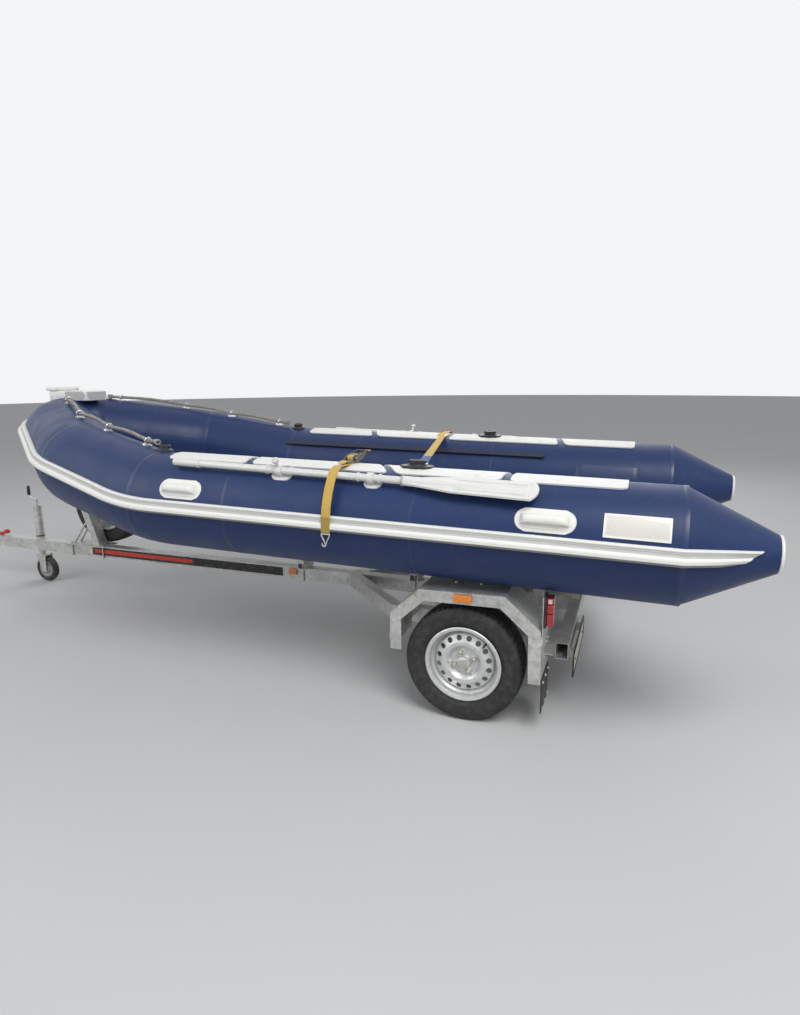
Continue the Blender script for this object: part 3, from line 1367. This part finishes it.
class BOAT_OT_ratchets(BoatOperator):
    """Ratchet of the tie-down strap with its webbing roll, and the wire hooks at the strap's ends"""

    bl_idname = "boat.ratchets"
    bl_label = "Ratchet and hooks"

    def execute(self, context):
        lie = Matrix.Rotation(math.radians(106), 4, "Z") @ Matrix.Rotation(math.radians(-2), 4, "Y")
        place = MIRROR @ tube_place(STRAP_X, -1.0, TUBE_R + 2) @ lie @ Matrix.Scale(0.86, 4)
        bm = bmesh.new()
        for side in (-1, 1):
            plate(bm, RATCHET_CHEEK, 2.5, 0.6, Matrix.Translation((0, side * 26.5, 0)))
            plate(bm, RATCHET_ARM, 2.2, 0.5, Matrix.Translation((0, side * 34.0, 0)))
            toothed(bm, (8, side * 30.4, 34), 12, RATCHET_TOOTH, 2.5)
        block(bm, (-62, -26, 12), (42, 26, 14.5), 0.6, 1)
        block(bm, (48, -33, 46), (58, 33, 50), 1.0, 1)
        block(bm, (20, -20, 50), (50, 20, 53), 1.0, 1)
        bar(bm, (-55, -30, 19), (-55, 30, 19), 4.5, bevel=1.0)
        bar(bm, (8, -40, 34), (8, 40, 34), 9.5, bevel=1.5)
        bar(bm, (30, -31, 34), (30, 31, 34), 3.5)
        piece("ratchet_frame", bm, "dark_steel", moved=place)
        bm = bmesh.new()
        bar(bm, (105, -37, 62), (105, 37, 62), 8.0, bevel=2.0)
        piece("ratchet_grip", bm, "black_plastic", moved=place)
        spiral = []
        for i in range(61):
            angle = -math.tau * 2.6 * i / 60
            reach = 10.5 + 9.5 * i / 60
            spiral.append(Vector((8 + reach * math.cos(angle), 0, 34 + reach * math.sin(angle))))
        bm = bmesh.new()
        ribbon(bm, spiral, Y_WAY, STRAP_W - 2, 2.2)
        ribbon(bm, [Vector((x, 0, z)) for x, z in RATCHET_RUN_IN], Y_WAY, STRAP_W, WEB_T)
        ribbon(bm, smooth_route([Vector((x, 0, z)) for x, z in RATCHET_TAIL]), Y_WAY, STRAP_W - 2, 2.2)
        piece("ratchet_webbing", bm, "webbing", moved=place, sharp=50)

        top = strap_spot(*STRAP_TABLE[-1])
        bm = bmesh.new()
        line = smooth_route([top + Vector((x, 0, z)) for x, z in HOOK_WIRE], 8)
        pipes(bm, [line, [MIRROR @ p for p in line]], WIRE_R)
        piece("strap_wire_hooks", bm, "bright_zinc", replaces=["strap_ratchet"], sharp=80)
        return {"FINISHED"}


class BOAT_OT_locker(BoatOperator):
    """Rounded bow locker with its open well, and the lid with panel, catch and hinges"""

    bl_idname = "boat.locker"
    bl_label = "Bow locker and lid"

    def execute(self, context):
        self.moulding()
        bm = bmesh.new()
        for y in (LOCKER_LOW[1] - 0.4, LOCKER_HIGH[1] + 0.4):
            plate(bm, LOCKER_SIDE_PANEL, 2.0, 0.4, Matrix.Translation((0, y, 0)))
        plate(bm, LOCKER_REAR_PANEL, 2.0, 0.4, Matrix.Translation((LOCKER_HIGH[0] + 0.4, 0, 0)) @ ATHWART)
        piece("locker_grey_panels", bm, "moulding_grey", sharp=40)

        low, high = Vector(LID_LOW), Vector(LID_HIGH)
        bm = bmesh.new()
        block(bm, low, high, 7.0, 4)
        piece("lid_moulding", bm, "moulding", body="lid",
              replaces=["locker_lid"], sharp=40)
        bm = bmesh.new()
        block(bm, (low.x + 22, low.y + 24, high.z - 2), (high.x - 22, high.y - 24, high.z - 0.2), 1.5)
        piece("lid_grey_panel", bm, "moulding_grey", body="lid", sharp=40)
        bm = bmesh.new()
        for y in (-62.0, 62.0):
            bar(bm, (low.x + 2, y - 18, low.z + 3), (low.x + 2, y + 18, low.z + 3), 2.8)
            block(bm, (low.x + 0.2, y - 16, low.z + 2), (low.x + 1.6, y + 16, low.z + 18), 0.4, 1)
        block(bm, (high.x - 1.5, -16, low.z + 1), (high.x - 0.1, 16, low.z + 19), 0.6, 1)
        piece("lid_hinge_leaves", bm, "stainless", body="lid")
        return {"FINISHED"}

    def moulding(self):
        bm = bmesh.new()
        block(bm, LOCKER_LOW, LOCKER_HIGH)
        top = max(bm.faces, key=lambda face: face.calc_center_median().z)
        corners = list(bm.verts)
        bmesh.ops.inset_individual(bm, faces=[top], thickness=4.0)
        middle = top.calc_center_median()
        for vert in top.verts:
            vert.co.x = WELL_X[0] if vert.co.x < middle.x else WELL_X[1]
            vert.co.y = WELL_Y if vert.co.y > 0 else -WELL_Y
        floor = bmesh.ops.extrude_discrete_faces(bm, faces=[top])["faces"][0]
        bmesh.ops.translate(bm, verts=list(floor.verts), vec=(0, 0, -WELL_DEPTH))
        rim = [e for e in bm.edges if e.verts[0] in corners and e.verts[1] in corners]
        rounded(bm, corners, rim, 9.0, 4)
        piece("locker_moulding", bm, "moulding", replaces=["bow_locker"], sharp=40)


class BOAT_OT_wheel_details(BoatOperator):
    """Hexagonal bolts, hub caps, valve stems and rim lips of the road wheels"""

    bl_idname = "boat.wheel_details"
    bl_label = "Wheel details"

    def execute(self, context):
        for name, side in (("left", -1), ("right", 1)):
            turned = Matrix.Rotation(-side * math.pi / 2, 4, "X")
            place = Matrix.Translation((0, side * WHEEL_Y, TYRE_R)) @ turned
            bm = bmesh.new()
            for i in range(4):
                angle = math.radians(22.5 + 90 * i)
                x, y = BOLT_CIRCLE_R * math.cos(angle), BOLT_CIRCLE_R * math.sin(angle)
                for low, high, low_r, high_r, sides, bevel in WHEEL_BOLT:
                    bar(bm, (x, y, low), (x, y, high), low_r, high_r, sides, bevel)
            bar(bm, (0, 0, 26), (0, 0, 34), 36, 33, 40, 1.0)
            block(bm, (-25, -25, 56), (25, 25, 65), 5.0, 3, Matrix.Rotation(math.radians(12), 4, "Z"))
            spun(bm, RIM_LIP, ORIGIN, Z_WAY)
            piece("wheel_bolts_" + name, bm, "bright_zinc", body="wheel_" + name,
                  moved=place)
            bm = bmesh.new()
            bar(bm, (104, 104, 40), (98, 98, 66), 5.5, 4.0, 16)
            bar(bm, (98, 98, 64), (97, 97, 72), 4.6, 4.6, 12, 0.6)
            piece("tyre_valve_" + name, bm, "black_rubber", body="wheel_" + name,
                  moved=place)
        return {"FINISHED"}


class BOAT_OT_lamps(BoatOperator):
    """Rear lamps and side markers: dark housings with ribbed lenses and reflectors"""

    bl_idname = "boat.lamps"
    bl_label = "Lamps and markers"

    def execute(self, context):
        bm = bmesh.new()
        block(bm, *LAMP_HOUSING, 3.0)
        for z in LAMP_SCREW_Z:
            bar(bm, (376, 893, z), (391, 893, z), 3.4)
        piece("rear_lamp_housings", bm, "black_plastic", both=True)
        bm = bmesh.new()
        for low_z, high_z in LAMP_FIELDS:
            block(bm, (377, 864, low_z), (408, 922, high_z), 6.0, 3)
        piece("rear_lamp_red_lenses", bm, "red_lens", replaces=["rear_lamps"], both=True)
        bm = bmesh.new()
        block(bm, *LAMP_REFLECTOR, 1.2)
        piece("rear_lamp_reflectors", bm, "reflector", both=True)
        lenses, bases = bmesh.new(), bmesh.new()
        for x, y, z, half in MARKER_TABLE:
            block(bases, (x - half + 3, y + 0.3, z - 14), (x + half - 3, y + 7, z + 14), 2.0)
            block(lenses, (x - half, y + 3, z - 19), (x + half, y + 13.9, z + 19), 4.5, 3)
        piece("marker_lenses", lenses, "orange_lens",
              replaces=["side_markers"], both=True)
        piece("marker_bases", bases, "black_plastic", both=True)
        return {"FINISHED"}


class BOAT_OT_board_and_plate(BoatOperator):
    """Frame of the blank number board, and the pale border of the blank plate on the tube"""

    bl_idname = "boat.board_and_plate"
    bl_label = "Blank board and plate"

    def execute(self, context):
        low, high, edge = Vector(BOARD_LOW), Vector(BOARD_HIGH), BOARD_EDGE
        bm = bmesh.new()
        for start, end in ((low, (high.x, high.y, low.z + edge)), ((low.x, low.y, high.z - edge), high),
                           (low, (high.x, low.y + edge, high.z)), ((low.x, high.y - edge, low.z), high)):
            block(bm, start, end, 1.5)
        for y in BOARD_SCREW_Y:
            bar(bm, (483, y, 274), (487.5, y, 274), 6.0, 4.5)
        piece("number_board_frame", bm, "black_plastic")
        bm = bmesh.new()
        for spread in PLATE_BORDER:
            bent_sheet(bm, span(*spread), TUBE_R, TUBE_R + 4.2, 6, 6)
        piece("blank_plate_border", bm, "white_rubber", moved=MIRROR, sharp=40)
        return {"FINISHED"}


class BOAT_OT_trailer_fittings(BoatOperator):
    """Winch strap and gear, jockey wheel, coupling grip, crank grip and fender bolts"""

    bl_idname = "boat.trailer_fittings"
    bl_label = "Trailer fittings"

    def execute(self, context):
        self.winch(Vector(DRUM), Vector(BOW_EYE))
        self.jockey_wheel()
        self.grips(Vector(DRUM))
        bm = bmesh.new()
        for xs, ys, zs, axis, radius in BOLT_TABLE:
            for x in xs:
                for y in ys:
                    for z in zs:
                        spot = Vector((x, y, z))
                        bar(bm, spot, spot + axis * 1.6, radius * 1.35)
                        bar(bm, spot + axis * 1.4, spot + axis * 6.0, radius, sides=6, bevel=0.8)
        piece("fender_and_frame_bolts", bm, "bright_zinc", both=True)
        return {"FINISHED"}

    def winch(self, drum, eye):
        way = (eye - drum).normalized()
        lift = Vector((-way.z, 0, way.x))
        bm = bmesh.new()
        spun(bm, mirrored([(23, 20), (23, 31), (21, 33)]), drum, Y_WAY, 48)
        piece("winch_strap_roll", bm, "winch_webbing")
        bm = bmesh.new()
        ribbon(bm, even_steps([drum + lift * 31, eye - way * 46 + lift * 3.1], 20.0), Y_WAY, 44.0, WEB_T)
        piece("winch_strap", bm, "winch_webbing", sharp=50)
        bm = bmesh.new()
        line = smooth_route([eye + way * a + lift * b for a, b in WINCH_HOOK], 8)
        pipes(bm, [[p + Y_WAY * y for p in line] for y in (-7.6, 7.6)], 3.0)
        pin = eye - way * 50 + Z_WAY * 4
        bar(bm, pin - Y_WAY * 22, pin + Y_WAY * 22, 4.0)
        piece("winch_strap_hook", bm, "bright_zinc", sharp=60)
        bm = bmesh.new()
        toothed(bm, (drum.x, -38.5, drum.z), 20, WINCH_TOOTH, 5.0)
        bar(bm, drum + Vector((0, -46, 0)), drum + Vector((0, -40, 0)), 14, bevel=1.0)
        bar(bm, drum + Vector((34, -42, 20)), drum + Vector((34, -36, 20)), 7, sides=6)
        piece("winch_gear", bm, "bright_zinc")

    def jockey_wheel(self):
        bm = bmesh.new()
        spun(bm, mirrored(JOCKEY_TYRE), JOCKEY, Y_WAY, 72)
        piece("jockey_tyre", bm, "black_rubber", body="jockey",
              replaces=["jockey_wheel"], sharp=30)
        bm = bmesh.new()
        spun(bm, mirrored(JOCKEY_HUB), JOCKEY, Y_WAY, 72)
        for i in range(6):
            turn = Matrix.Translation(JOCKEY) @ Matrix.Rotation(math.tau * i / 6, 4, "Y")
            block(bm, (30, -14, -3), (60, 14, 3), 1.5, 1, turn)
        piece("jockey_hub", bm, "grey_plastic", body="jockey")

    def grips(self, drum):
        bm = bmesh.new()
        block(bm, (-4128, -16, 366.5), (-4036, 16, 386), 6.0, 3)
        for i in range(5):
            block(bm, (-4118 + i * 14, -16.8, 372), (-4112 + i * 14, 16.8, 386.6), 1.2, 1)
        spun(bm, COUPLING_KNOB, (-3992, 0, 396), Z_WAY, 32, False)
        bar(bm, (-4050, 0, 376), (-3994, 0, 392), 6.0)
        piece("coupling_grip", bm, "red_plastic")
        bm = bmesh.new()
        bar(bm, (-3790, 75, 692), (-3790, 75, 764), 12.5, 11.0, bevel=3.0)
        crank = drum + Vector((-20, -78, 130))
        bar(bm, crank + Vector((0, 8, 0)), crank + Vector((0, -66, 0)), 13.0, 12.0, bevel=3.0)
        for z in (304.0, 370.0):
            spun(bm, mirrored([(4, 24.4), (4, 32)]), (-3720, 75, z), Z_WAY, 48)
        piece("crank_grips", bm, "black_plastic")


class BOAT_OT_tyres(BoatOperator):
    """Road tyres with grooved treads, on both wheels and on the spare"""

    bl_idname = "boat.tyres"
    bl_label = "Tyres"

    def execute(self, context):
        sizes = context.scene.boat_fittings
        for node, body, centre in (("tyre_left", "wheel_left", (0.0, -WHEEL_Y, TYRE_R)),
                                   ("tyre_right", "wheel_right", (0.0, WHEEL_Y, TYRE_R)),
                                   ("spare_tyre", BOAT, SPARE)):
            bm = bmesh.new()
            self.tyre(bm, Vector(centre), sizes.tread_groove, sizes.tread_slots)
            piece(node + "_treaded", bm, "tyre", body=body, replaces=[node], sharp=28)
        return {"FINISHED"}

    def tyre(self, bm, centre, groove, slots):
        half = TYRE_SIDE + [(across, radius - groove * deep) for across, radius, deep in TYRE_TREAD]
        steps = slots * 3
        spun(bm, mirrored([(-across, radius) for across, radius in half]), centre, Y_WAY, steps)
        bmesh.ops.recalc_face_normals(bm, faces=bm.faces[:])
        cut = []
        for face in bm.faces:
            mid = face.calc_center_median() - centre
            across, reach = abs(mid.y), math.hypot(mid.x, mid.z)
            turn = int(math.atan2(mid.z, mid.x) / math.tau * steps % steps)
            shoulder = across > 41.5 and reach > 270.0 and turn % 3 == 0
            rib = 17 < across < 33 and reach > 279 and turn % 6 == 3
            if shoulder or rib:
                cut.append(face)
        bmesh.ops.inset_individual(bm, faces=cut, thickness=1.2, depth=-groove * 0.7)


class BOAT_OT_beam_band(BoatOperator):
    """Plain black and red band on both sides of the beam"""

    bl_idname = "boat.beam_band"
    bl_label = "Beam band"

    def execute(self, context):
        for name, finish, (front, rear), (low, high), sunk, proud in BAND_TABLE:
            bm = bmesh.new()
            block(bm, (front, BEAM_W / 2 - sunk, low), (rear, BEAM_W / 2 + proud, high), 0.3, 1)
            piece(name, bm, finish, both=True)
        return {"FINISHED"}


STEPS = [
    BOAT_OT_stage,
    BOAT_OT_finishes,
    BOAT_OT_seam_tapes,
    BOAT_OT_strake,
    BOAT_OT_top_pads,
    BOAT_OT_transom,
    BOAT_OT_handles,
    BOAT_OT_valves,
    BOAT_OT_grab_ropes,
    BOAT_OT_straps,
    BOAT_OT_ratchets,
    BOAT_OT_oar_details,
    BOAT_OT_locker,
    BOAT_OT_tyres,
    BOAT_OT_wheel_details,
    BOAT_OT_lamps,
    BOAT_OT_board_and_plate,
    BOAT_OT_trailer_fittings,
    BOAT_OT_beam_band,
]


class BOAT_PT_panel(bpy.types.Panel):
    """The steps that dress the boat and trailer"""

    bl_label = "Boat on trailer"
    bl_idname = "BOAT_PT_panel"
    bl_space_type = "VIEW_3D"
    bl_region_type = "UI"
    bl_category = "Boat"

    def draw(self, context):
        layout = self.layout
        for group in (context.scene.boat_colours, context.scene.boat_fittings, context.scene.boat_stage):
            box = layout.box()
            for name in group.__annotations__:
                box.prop(group, name)
        for step in STEPS:
            layout.operator(step.bl_idname)


GROUPS = {"boat_colours": BoatColours, "boat_fittings": FittingSizes, "boat_stage": StageSettings}
CLASSES = [*GROUPS.values(), *STEPS, BOAT_PT_panel]


def register():
    for cls in CLASSES:
        bpy.utils.register_class(cls)
    for name, group in GROUPS.items():
        setattr(bpy.types.Scene, name, PointerProperty(type=group))


def unregister():
    for name in GROUPS:
        delattr(bpy.types.Scene, name)
    for cls in reversed(CLASSES):
        bpy.utils.unregister_class(cls)


def main():
    register()
    for step in STEPS:
        group, name = step.bl_idname.split(".")
        getattr(getattr(bpy.ops, group), name)()


if __name__ == "__main__":
    main()
